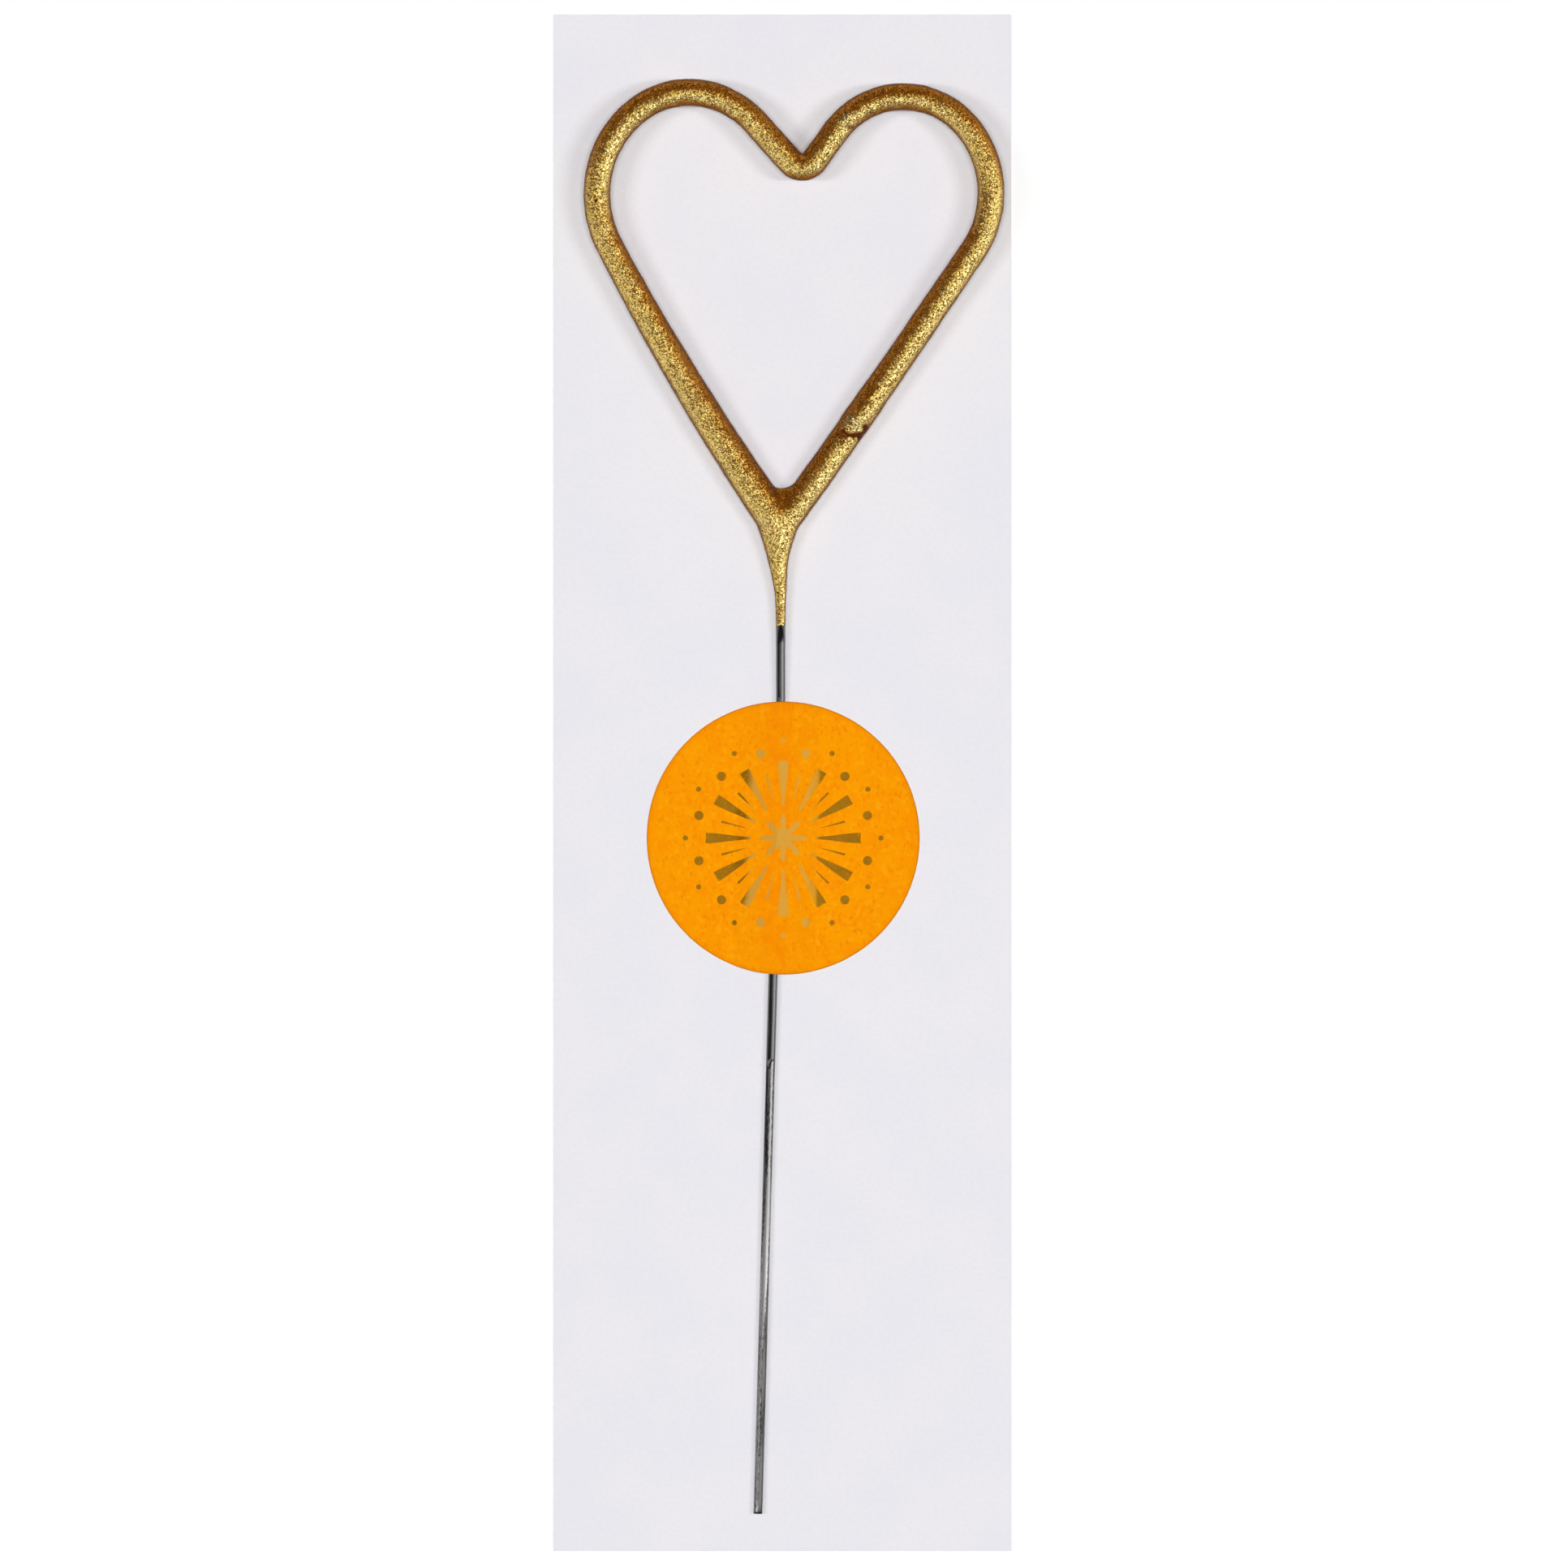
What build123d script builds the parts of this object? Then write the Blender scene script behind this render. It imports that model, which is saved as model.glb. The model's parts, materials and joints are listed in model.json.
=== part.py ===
from build123d import *
from math import acos, asin, atan2, cos, degrees, hypot, radians, sin, tan
import os

os.makedirs("parts", exist_ok=True)

# All sizes in millimetres and degrees. The card lies flat, face up, with the origin at the centre
# of its back, +Y towards the heart and +X to the right.

# Backing card
card_width = 74.5
card_length = 250.0
card_thickness = 0.5

# Round paper label, gummed down on both sides of the stem
label_diameter = 44.4
label_x = 0.15
label_y = -9.0
label_paper = 0.12
gum_thickness = 0.05
gum_margin = 0.6
tent_half_width = 6.6
tent_fold_radius = 2.5
tunnel_clearance = 0.12

# Bent steel wire: stem, neck and heart in one length
wire_diameter = 1.4
stem_length = 131.7
stem_lean = 1.61
stem_lift = 0.4
neck_x = -0.26
neck_length = 28.8
kink_inset = 0.46
kink_radius = 12.0
root_bend_radius = 4.0
dip_bend_room = 0.2
free_end_gap = 2.5

# Dark film that the dip leaves on the stem
film_thickness = 0.03
film_length = 58.4

# Heart centreline, measured from the root where the two arms meet the neck
left_lobe_offset = 14.79
left_lobe_height = 54.2
left_lobe_half_width = 15.05
left_lobe_half_height = 16.6
left_arm_lean = 30.0
right_lobe_offset = 19.91
right_lobe_height = 54.5
right_lobe_half_width = 14.25
right_lobe_half_height = 15.6
right_arm_lean = 36.3
dip_offset = 3.68
dip_height = 57.22

# Coat on the wire: spark mix under a thin gold skin
rod_diameter = 4.4
left_root_diameter = 5.6
right_root_diameter = 4.9
blend_step = 0.04
web_reach = 9.3
web_thickness = 2.6
flare_step = 0.15
flare_start = 1.2
flare_hollow = 0.32
mix_tail = 11.0
mix_tail_wall = 0.15
gold_overrun = 5.1
gold_tail_wall = 0.1
gold_skin = 0.2
lip_distance = 19.6
lip_length = 3.2
lip_height = 0.25
heart_seat = 0.15

# Heights and directions that follow from those sizes
wire_radius = wire_diameter / 2
label_radius = label_diameter / 2
root_diameter = max(left_root_diameter, right_root_diameter)
dip_bend_radius = rod_diameter / 2 + dip_bend_room
gold_tail = mix_tail + gold_overrun
stem_height = card_thickness + stem_lift + wire_radius
root_height = card_thickness + heart_seat + root_diameter / 2
tilt = asin((root_height - stem_height) / neck_length)
lean = radians(stem_lean)
stem_axis = Vector(sin(lean), cos(lean), 0)
neck_axis = Vector(0, cos(tilt), sin(tilt))
kink = Vector(neck_x, label_y + label_radius - kink_inset, stem_height)
root = kink + neck_axis * neck_length
neck_middle = kink + neck_axis * (neck_length / 2)
heart_plane = Plane(root, x_dir=(1, 0, 0), z_dir=(0, -sin(tilt), cos(tilt)))


# One half of the heart: dip line, lobe and arm down to the root; side is -1 on the left, 1 on the right
def draw_half(side, lobe_offset, lobe_height, half_width, half_height, arm_lean):
    run = (dip_offset - side * lobe_offset) / half_width
    rise = (dip_height - lobe_height) / half_height
    start = degrees(atan2(rise, run) - side * acos(1 / hypot(run, rise)))
    end = -arm_lean if side > 0 else 180 + arm_lean
    middle = (side * lobe_offset, lobe_height)
    lobe = EllipticalCenterArc(middle, half_width, half_height, start, arc_size=end - start)
    dip_line = Line((dip_offset, dip_height), lobe @ 0)
    arm = TangentArc(lobe @ 1, (0, 0), tangent=lobe % 1)
    return dip_line, lobe, arm


with BuildLine(heart_plane) as left_half:
    left_dip_line, left_lobe, left_arm = draw_half(
        -1,
        left_lobe_offset,
        left_lobe_height,
        left_lobe_half_width,
        left_lobe_half_height,
        left_arm_lean,
    )

with BuildLine(heart_plane) as right_half:
    right_dip_line, right_lobe, right_arm = draw_half(
        1,
        right_lobe_offset,
        right_lobe_height,
        right_lobe_half_width,
        right_lobe_half_height,
        right_arm_lean,
    )

# The coat bends round the dip with the wire
with BuildLine() as dip_bend:
    FilletPolyline(left_lobe @ 0, left_dip_line @ 0, right_lobe @ 0, radius=dip_bend_radius)

# The web in the crotch bends from one arm to the other; it is as wide as the thinner arm there, and flat
left_web = 1 - web_reach / left_arm.length
right_web = 1 - web_reach / right_arm.length
left_web_diameter = rod_diameter + (left_root_diameter - rod_diameter) * left_web
right_web_diameter = rod_diameter + (right_root_diameter - rod_diameter) * right_web
web_width = min(left_web_diameter, right_web_diameter) - 2 * blend_step
with BuildLine() as web_line:
    TangentArc(left_arm @ left_web, right_arm @ right_web, tangent=left_arm % left_web)

lip_place = 1 - lip_distance / right_arm.length
lip_base_diameter = rod_diameter + (right_root_diameter - rod_diameter) * lip_place


# Round rod along a path, of one diameter or tapering to a second one
def add_rod(path, diameter, end_diameter=None):
    with BuildSketch(Plane(path @ 0, z_dir=path % 0)) as start:
        Circle(diameter / 2)
    if end_diameter is None:
        sweep(start.sketch, path=path)
    else:
        with BuildSketch(Plane(path @ 1, z_dir=path % 1)) as end:
            Circle(end_diameter / 2)
        sweep([start.sketch, end.sketch], path=path, multisection=True)


# Outside of the coat, drawn in by inset on every side; the tail ends on the neck with its own wall
def add_coat(inset, tail, tail_wall):
    trim = 2 * inset
    sides = (
        (left_lobe, left_arm, left_root_diameter),
        (right_lobe, right_arm, right_root_diameter),
    )
    add_rod(dip_bend.wire(), rod_diameter - trim)
    for lobe, arm, arm_root_diameter in sides:
        add_rod(lobe, rod_diameter - trim)
        add_rod(arm, rod_diameter - trim, arm_root_diameter - trim)
    with Locations(root):
        Sphere(root_diameter / 2 - blend_step - inset)
    add_web(inset)
    add_flare(inset, tail, tail_wall)
    add_lip(inset)


# Flat web between the arms
def add_web(inset):
    path = web_line.line
    with BuildSketch(Plane(path @ 0, x_dir=heart_plane.z_dir, z_dir=path % 0)) as section:
        Ellipse(web_thickness / 2 - inset, web_width / 2 - inset)
    sweep(section.sketch, path=path)


# Flare from the root down to a thin tail on the neck
def add_flare(inset, tail, tail_wall):
    wide = root_diameter / 2 - flare_step - inset
    narrow = wire_radius + tail_wall
    middle = (narrow + wide) / 2 - flare_hollow
    with BuildSketch(heart_plane) as profile:
        with BuildLine():
            Polyline((narrow, -tail), (0, -tail), (0, 0), (wide, -flare_start))
            ThreePointArc((wide, -flare_start), (middle, -(tail + flare_start) / 2), (narrow, -tail))
        make_face()
    revolve(profile.sketch, axis=Axis(root, neck_axis))


# Rounded lip where a thicker run of coat ends on the right arm
def add_lip(inset):
    base = lip_base_diameter / 2 - inset
    arm_axis = right_arm % lip_place
    with BuildSketch(Plane(right_arm @ lip_place, x_dir=arm_axis, z_dir=heart_plane.z_dir)) as profile:
        with BuildLine():
            Polyline((-lip_length, base), (-lip_length, 0), (0, 0), (0, base))
            ThreePointArc((-lip_length, base), (-lip_length / 3, base + lip_height), (0, base))
        make_face()
    revolve(profile.sketch, axis=Axis(right_arm @ lip_place, arm_axis))


# Backing card
with BuildPart() as backing_card:
    with BuildSketch():
        Rectangle(card_width, card_length)
    extrude(amount=card_thickness)
backing_card.part.label = "backing_card"
export_step(backing_card.part, "parts/backing_card.step")

# Paper label, raised in a tent over the stem: its section runs along the stem and is cut to a disc
tent_height = stem_lift + wire_radius - gum_thickness
tunnel_radius = wire_radius + film_thickness + tunnel_clearance
flank = atan2(tent_height, tent_half_width) + asin(tunnel_radius / hypot(tent_height, tent_half_width))
ridge = tent_half_width * tan(flank)
tunnel_middle = kink - stem_axis * label_radius
tunnel_plane = Plane(
    (tunnel_middle.X, tunnel_middle.Y, card_thickness + gum_thickness),
    x_dir=(cos(lean), -sin(lean), 0),
    z_dir=-stem_axis,
)


# Line of the paper's section, lifted from the underside by the given depth of paper
def draw_tent(depth):
    foot = tent_half_width + depth * tan(flank / 2)
    fold = tent_fold_radius - depth
    FilletPolyline(
        (-label_diameter, depth),
        (-foot, depth),
        (0, ridge + depth / cos(flank)),
        (foot, depth),
        (label_diameter, depth),
        radius=[fold, tunnel_radius + depth, fold],
    )


with BuildPart() as label_face:
    with BuildSketch(tunnel_plane):
        with BuildLine():
            draw_tent(0)
            draw_tent(label_paper)
            Line((-label_diameter, 0), (-label_diameter, label_paper))
            Line((label_diameter, 0), (label_diameter, label_paper))
        make_face()
    extrude(amount=label_diameter, both=True)
    with BuildSketch():
        with Locations((label_x, label_y)):
            Circle(label_radius)
    extrude(amount=label_diameter, mode=Mode.INTERSECT)
label_face.part.label = "label_face"
export_step(label_face.part, "parts/label_face.step")

# Gum under the two flat sides of the label
with BuildPart() as label_gum:
    with BuildSketch(Plane.XY.offset(card_thickness)):
        with Locations((label_x, label_y)):
            Circle(label_radius)
        with Locations((tunnel_middle.X, tunnel_middle.Y)):
            Rectangle(
                2 * (tent_half_width + gum_margin),
                2 * label_diameter,
                rotation=-stem_lean,
                mode=Mode.SUBTRACT,
            )
    extrude(amount=gum_thickness)
label_gum.part.label = "label_gum"
export_step(label_gum.part, "parts/label_gum.step")

# Core wire: the stem with its kink, then the neck, heart and free end
with BuildLine() as stem_line:
    FilletPolyline(kink - stem_axis * stem_length, kink, neck_middle, radius=kink_radius)

with BuildLine(heart_plane) as heart_line:
    Line((0, -neck_length / 2), (0, 0))
    add(left_half.line)
    add([right_dip_line, right_lobe, right_arm.trim(0, 1 - free_end_gap / right_arm.length)])
    fillet(heart_line.vertices().sort_by_distance(root)[0], root_bend_radius)
    fillet(heart_line.vertices().sort_by_distance(left_dip_line @ 0)[0], dip_bend_radius)

with BuildPart() as core_wire:
    add_rod(stem_line.wire(), wire_diameter)
    add_rod(heart_line.wire(), wire_diameter)
core_wire.part.label = "core_wire"
export_step(core_wire.part, "parts/core_wire.step")

# Dark film on the stem, from the end of the gold through the label to the dip line
with BuildLine() as film_line:
    FilletPolyline(kink - stem_axis * film_length, kink, root - neck_axis * gold_tail, radius=kink_radius)

with BuildPart() as stem_film:
    add_rod(film_line.wire(), wire_diameter + 2 * film_thickness)
    add(core_wire.part, mode=Mode.SUBTRACT)
stem_film.part.label = "stem_film"
export_step(stem_film.part, "parts/stem_film.step")

# Spark mix around the wire, and the gold skin over it
with BuildPart() as mix_form:
    add_coat(gold_skin, mix_tail, mix_tail_wall)

with BuildPart() as sparkler_mix:
    add(mix_form.part)
    add(core_wire.part, mode=Mode.SUBTRACT)
sparkler_mix.part.label = "sparkler_mix"
export_step(sparkler_mix.part, "parts/sparkler_mix.step")

with BuildPart() as gold_coat:
    add_coat(0, gold_tail, gold_tail_wall)
    add(mix_form.part, mode=Mode.SUBTRACT)
    add(core_wire.part, mode=Mode.SUBTRACT)
gold_coat.part.label = "gold_coat"
export_step(gold_coat.part, "parts/gold_coat.step")
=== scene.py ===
import bmesh
import bpy
import json
from math import acos, asin, atan2, cos, exp, hypot, pi, radians, sin, sqrt, tan
from mathutils import Matrix, Vector, noise


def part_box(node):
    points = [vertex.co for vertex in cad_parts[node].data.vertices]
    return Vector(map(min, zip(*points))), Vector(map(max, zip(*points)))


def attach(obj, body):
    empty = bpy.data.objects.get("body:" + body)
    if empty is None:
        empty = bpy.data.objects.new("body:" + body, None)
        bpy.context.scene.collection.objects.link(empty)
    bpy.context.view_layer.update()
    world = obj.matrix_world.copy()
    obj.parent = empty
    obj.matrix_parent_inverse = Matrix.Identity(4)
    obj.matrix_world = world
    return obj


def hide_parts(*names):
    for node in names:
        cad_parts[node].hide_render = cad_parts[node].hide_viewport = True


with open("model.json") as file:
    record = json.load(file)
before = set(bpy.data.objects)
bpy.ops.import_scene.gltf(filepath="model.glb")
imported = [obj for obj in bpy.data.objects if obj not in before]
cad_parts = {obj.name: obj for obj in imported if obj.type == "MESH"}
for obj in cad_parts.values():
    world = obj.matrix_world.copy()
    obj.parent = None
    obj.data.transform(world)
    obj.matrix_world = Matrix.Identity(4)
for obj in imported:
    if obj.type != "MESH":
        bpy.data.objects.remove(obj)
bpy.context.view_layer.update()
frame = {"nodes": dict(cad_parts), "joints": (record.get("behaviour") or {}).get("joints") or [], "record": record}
mm = 0.001

# The stem's line comes from the frame: its cut end, its direction and its length
mounts = {mount["name"]: mount for mount in frame["record"]["mounts"]}
stemAxis = Vector(frame["joints"][0]["axis"])
stemAcross = Vector((stemAxis.y, -stemAxis.x, 0))
tip = Vector(mounts["stem_end"]["pos_m"])
wireRadius = mounts["stem_end"]["dims"]["r_mm"] * mm
kink = tip + stemAxis * mounts["stem_end"]["dims"]["length_mm"] * mm
straightUp = Vector((0, 0, 1))


# Helpers for shapes

def smoothStep(low, high, value):
    share = min(max((value - low) / (high - low), 0), 1)
    return share * share * (3 - 2 * share)


def tangentArc(start, heading, end, count):
    # points of the arc that leaves start along heading and ends at end, both in the plane
    chord = end - start
    turn = 2 * atan2(heading.x * chord.y - heading.y * chord.x, heading.dot(chord))
    points = []
    for step in range(count + 1):
        half = turn * step / count / 2
        aim = Vector((
            heading.x * cos(half) - heading.y * sin(half),
            heading.x * sin(half) + heading.y * cos(half),
        ))
        points.append(start + aim * chord.length * sin(half) / sin(turn / 2))
    return points


def tube(points, radii, sides, up=straightUp, flats=None):
    # closed tube along points, round or flattened; returns its corners and faces
    corners, faces = [], []
    last = len(points) - 1
    for step, point in enumerate(points):
        ahead = (points[min(step + 1, last)] - points[max(step - 1, 0)]).normalized()
        across = ahead.cross(up).normalized()
        lift = across.cross(ahead) * (flats[step] if flats else 1)
        for side in range(sides):
            turn = 2 * pi * side / sides
            corners.append(point + (across * cos(turn) + lift * sin(turn)) * radii[step])
    for step in range(last):
        for side in range(sides):
            near, far = step * sides, (step + 1) * sides
            after = (side + 1) % sides
            faces.append((near + side, near + after, far + after, far + side))
    faces.append(tuple(reversed(range(sides))))
    faces.append(tuple(last * sides + side for side in range(sides)))
    return corners, faces


def ball(centre, radius, sides=32):
    rings = sides // 2
    turns = [pi * (ring + 0.5) / rings for ring in range(rings)]
    points = [centre + Vector((-cos(turn) * radius, 0, 0)) for turn in turns]
    return tube(points, [radius * sin(turn) for turn in turns], sides)


def makePiece(name, shells):
    corners, faces = [], []
    for shellCorners, shellFaces in shells:
        offset = len(corners)
        corners += shellCorners
        faces += [tuple(corner + offset for corner in face) for face in shellFaces]
    mesh = bpy.data.meshes.new(name)
    mesh.from_pydata(corners, [], faces)
    piece = bpy.data.objects.new(name, mesh)
    bpy.context.scene.collection.objects.link(piece)
    recalcNormals(mesh)
    return piece


def recalcNormals(mesh):
    work = bmesh.new()
    work.from_mesh(mesh)
    bmesh.ops.recalc_face_normals(work, faces=work.faces)
    work.to_mesh(mesh)
    work.free()
    mesh.polygons.foreach_set("use_smooth", [True] * len(mesh.polygons))


def applyModifiers(piece):
    graph = bpy.context.evaluated_depsgraph_get()
    made = bpy.data.meshes.new_from_object(piece.evaluated_get(graph))
    piece.modifiers.clear()
    piece.data = made
    made.polygons.foreach_set("use_smooth", [True] * len(made.polygons))


# Helpers for finishes

class Value:
    def __init__(self, finish, socket):
        self.finish = finish
        self.socket = socket

    def math(self, operation, first, second=0.0):
        return self.finish.node("ShaderNodeMath", {"operation": operation}, {0: first, 1: second})

    def __add__(self, other):
        return self.math("ADD", self, other)

    def __radd__(self, other):
        return self.math("ADD", other, self)

    def __sub__(self, other):
        return self.math("SUBTRACT", self, other)

    def __rsub__(self, other):
        return self.math("SUBTRACT", other, self)

    def __mul__(self, other):
        return self.math("MULTIPLY", self, other)

    def __rmul__(self, other):
        return self.math("MULTIPLY", other, self)

    def __truediv__(self, other):
        return self.math("DIVIDE", self, other)

    def __pow__(self, other):
        return self.math("POWER", self, other)

    def __abs__(self):
        return self.math("ABSOLUTE", self)


class Finish:
    def __init__(self, owner):
        # owner is a material's name, or the world
        self.material = bpy.data.materials.new(owner) if isinstance(owner, str) else owner
        self.material.use_nodes = True
        self.tree = self.material.node_tree
        self.tree.nodes.clear()

    def node(self, kind, settings, sockets, out=0):
        # any node: its settings first, then a value or a link for each socket
        made = self.tree.nodes.new(kind)
        for key, setting in settings.items():
            setattr(made, key, setting)
        for key, item in sockets.items():
            if isinstance(item, Value):
                self.tree.links.new(item.socket, made.inputs[key])
            else:
                made.inputs[key].default_value = item
        return Value(self, made.outputs[out])

    def place(self):
        return self.node("ShaderNodeTexCoord", {}, {}, "Object")

    def stretched(self, scale, turn=0.0):
        # coordinates of the piece, turned about Z and stretched
        sockets = {"Vector": self.place(), "Rotation": (0, 0, turn), "Scale": scale}
        return self.node("ShaderNodeMapping", {}, sockets)

    def noise(self, size, detail=2.0, where=None):
        # cloudy values from 0 to 1 with lumps of about this size in metres
        sockets = {"Vector": where or self.place(), "Scale": 1 / size, "Detail": detail}
        return self.node("ShaderNodeTexNoise", {}, sockets)

    def flakes(self, size, out="Color"):
        sockets = {"Vector": self.place(), "Scale": 1 / size}
        return self.node("ShaderNodeTexVoronoi", {"feature": "F1"}, sockets, out)

    def parts(self, vector):
        made = self.node("ShaderNodeSeparateXYZ", {}, {0: vector})
        outputs = made.socket.node.outputs
        return [Value(self, output) for output in outputs]

    def between(self, value, low, high, start=0.0, end=1.0):
        # value taken from low..high to start..end with a soft step
        sockets = {0: value, 1: low, 2: high, 3: start, 4: end}
        return self.node("ShaderNodeMapRange", {"interpolation_type": "SMOOTHSTEP"}, sockets)

    def mix(self, share, first, second):
        sockets = {0: share, 6: first, 7: second}
        return self.node("ShaderNodeMix", {"data_type": "RGBA"}, sockets, 2)

    def vector(self, operation, first, second, out=0):
        return self.node("ShaderNodeVectorMath", {"operation": operation}, {0: first, 1: second}, out)

    def larger(self, first, second):
        return self.node("ShaderNodeMath", {"operation": "MAXIMUM"}, {0: first, 1: second})

    def bump(self, height, distance, strength=1.0):
        sockets = {"Height": height, "Distance": distance, "Strength": strength}
        return self.node("ShaderNodeBump", {}, sockets)

    def shader(self, **sockets):
        named = {key.replace("_", " "): item for key, item in sockets.items()}
        return self.node("ShaderNodeBsdfPrincipled", {}, named)

    def close(self, shader):
        kind = "World" if isinstance(self.material, bpy.types.World) else "Material"
        output = self.tree.nodes.new("ShaderNodeOutput" + kind)
        self.tree.links.new(shader.socket, output.inputs["Surface"])


def shade(red, green, blue):
    # screen colour, 0 to 255, as the linear colour that a socket takes
    def linear(level):
        level /= 255
        return level / 12.92 if level <= 0.04045 else ((level + 0.055) / 1.055) ** 2.4
    return (linear(red), linear(green), linear(blue), 1.0)


def dress(piece, finish, body=None, node=None):
    piece.data.materials.clear()
    piece.data.materials.append(finish.material)
    if body:
        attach(piece, body)
    if node:
        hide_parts(node)


# Camera: straight down on the card, from far off

view = {
    "lens": 600.0,
    "sensor": 36.0,
    "pixelsPerMm": 7.573,
    "imageHeight": 1932,
    "aimX": 0.2,
    "aimY": -0.2,
}
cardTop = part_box("backing_card")[1].z
cameraData = bpy.data.cameras.new("camera")
cameraData.lens = view["lens"]
cameraData.sensor_width = view["sensor"]
camera = bpy.data.objects.new("camera", cameraData)
frameHeight = view["imageHeight"] / view["pixelsPerMm"] * mm
cameraHeight = cardTop + frameHeight * view["lens"] / view["sensor"]
camera.location = (view["aimX"] * mm, view["aimY"] * mm, cameraHeight)
bpy.context.scene.collection.objects.link(camera)
bpy.context.scene.camera = camera
bpy.context.scene.view_settings.view_transform = "Standard"
print("camera set at", round(camera.location.z, 3), "m")


# Gold coat: rods along the heart, web, flare and tail, grown together into one crust

coat = {
    "neckLength": 28.8, "neckRise": 1.85,
    "dipOffset": 3.68, "dipHeight": 57.22, "dipBend": 2.4,
    "left": {
        "side": -1, "offset": 14.79, "height": 54.2, "halfWidth": 15.05, "halfHeight": 16.6,
        "lean": radians(30.0), "rootRadius": 3.0,
    },
    "right": {
        "side": 1, "offset": 19.91, "height": 54.5, "halfWidth": 14.25, "halfHeight": 15.6,
        "lean": radians(36.3), "rootRadius": 2.45,
    },
    "rodRadius": 2.2, "rootTaper": 0.45, "taperRun": 2.6, "rootBall": 2.6,
    "lipAt": 19.6, "lipRise": 0.9, "lipFlat": 1.5, "lipRun": 12.0, "lipHeight": 0.08,
    "webReach": 7.9, "webRadius": 2.365, "webFlat": 0.55,
    "flareRadius": 3.35, "tailRadius": 0.79, "flareLength": 16.1, "tailEnd": 16.1, "flarePower": 2.5,
    "flareTop": 2.6, "flareRound": 0.5, "flareFlat": 0.8, "flatEnd": 9.0,
    "flareShift": 0.46, "shiftStart": 3.0, "shiftEnd": 12.0,
    "grain": 0.22, "smoothing": 5, "blendReach": 9.0, "blending": 30,
    "swell": 0.06, "swellSize": 3.2, "lump": 0.04, "lumpSize": 1.1, "lumpShift": Vector((7.3, 1.9, 4.1)),
    "evenTail": 8.0, "sideLow": -0.1, "sideHigh": 0.25,
    "sides": 40, "steps": 96, "dipSteps": 24, "webSteps": 16, "flareSteps": 48,
}
neckTilt = asin(coat["neckRise"] / coat["neckLength"])
neckAxis = Vector((0, cos(neckTilt), sin(neckTilt)))
heartUp = Vector((0, -sin(neckTilt), cos(neckTilt)))
root = kink + neckAxis * coat["neckLength"] * mm


def onHeart(point):
    return root + (Vector((1, 0, 0)) * point.x + neckAxis * point.y) * mm


def heartHalf(half):
    # round the lobe and down the arm to the root, in the heart's plane
    side, wide, tall = half["side"], half["halfWidth"], half["halfHeight"]
    centre = Vector((side * half["offset"], half["height"]))
    dip = Vector((coat["dipOffset"], coat["dipHeight"]))
    run, rise = (dip.x - centre.x) / wide, (dip.y - centre.y) / tall
    start = atan2(rise, run) - side * acos(1 / hypot(run, rise))
    end = -half["lean"] if side > 0 else pi + half["lean"]
    turns = [start + (end - start) * step / coat["steps"] for step in range(coat["steps"] + 1)]
    lobe = [centre + Vector((cos(turn) * wide, sin(turn) * tall)) for turn in turns]
    heading = (Vector((-sin(end) * wide, cos(end) * tall)) * -side).normalized()
    arm = tangentArc(lobe[-1], heading, Vector((0, 0)), coat["steps"])
    radii = [coat["rodRadius"]] * len(lobe)
    for step in range(1, len(arm)):
        radius = coat["rodRadius"] + (half["rootRadius"] - coat["rodRadius"]) * step / coat["steps"]
        radius -= coat["rootTaper"] * (1 - smoothStep(0, coat["taperRun"], arm[step].length))
        radii.append(radius + (lipLift(arm[step].length) if side > 0 else 0))
    return lobe + arm[1:], radii, arm


def dipCorner(first, last):
    # the dip's rounded corner, between the straight runs to the two lobes
    dip = Vector((coat["dipOffset"], coat["dipHeight"]))
    toFirst, toLast = (first - dip).normalized(), (last - dip).normalized()
    run = coat["dipBend"] / tan(acos(toFirst.dot(toLast)) / 2)
    return tangentArc(dip + toFirst * run, -toFirst, dip + toLast * run, coat["dipSteps"])


def lipLift(reach):
    # thicker run of coat that comes down the right arm and ends at this distance from the root
    past = reach - coat["lipAt"]
    fade = 1 - smoothStep(coat["lipFlat"], coat["lipRun"], past)
    return coat["lipHeight"] * smoothStep(0, coat["lipRise"], past) * fade


leftLine, leftRadii, leftArm = heartHalf(coat["left"])
rightLine, rightRadii, rightArm = heartHalf(coat["right"])
dipLine = dipCorner(leftLine[0], rightLine[0])
heartLine = list(reversed(leftLine)) + dipLine + rightLine
heartRadii = list(reversed(leftRadii)) + [coat["rodRadius"]] * len(dipLine) + rightRadii
heartPoints = [onHeart(point) for point in heartLine]


def armAt(arm, reach):
    # place and heading on an arm at this distance from the root
    travelled = 0
    for step in range(len(arm) - 1, 0, -1):
        run = arm[step] - arm[step - 1]
        travelled += run.length
        if travelled >= reach:
            return arm[step - 1] + run.normalized() * (travelled - reach), run.normalized()


def webLine():
    start, heading = armAt(leftArm, coat["webReach"])
    end = armAt(rightArm, coat["webReach"])[0]
    return [onHeart(point) for point in tangentArc(start, heading, end, coat["webSteps"])]


def flareRadius(down):
    if down < 0:
        return coat["flareRadius"] * (1 - coat["flareRound"] * (down / coat["flareTop"]) ** 2)
    share = max(1 - down / coat["flareLength"], 0) ** coat["flarePower"]
    return coat["tailRadius"] + (coat["flareRadius"] - coat["tailRadius"]) * share


def flareMiddle(down):
    # the flare hangs a little to the left of the neck and comes back to it
    aside = -coat["flareShift"] * (1 - smoothStep(coat["shiftStart"], coat["shiftEnd"], down))
    return onHeart(Vector((aside, -down)))


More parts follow.
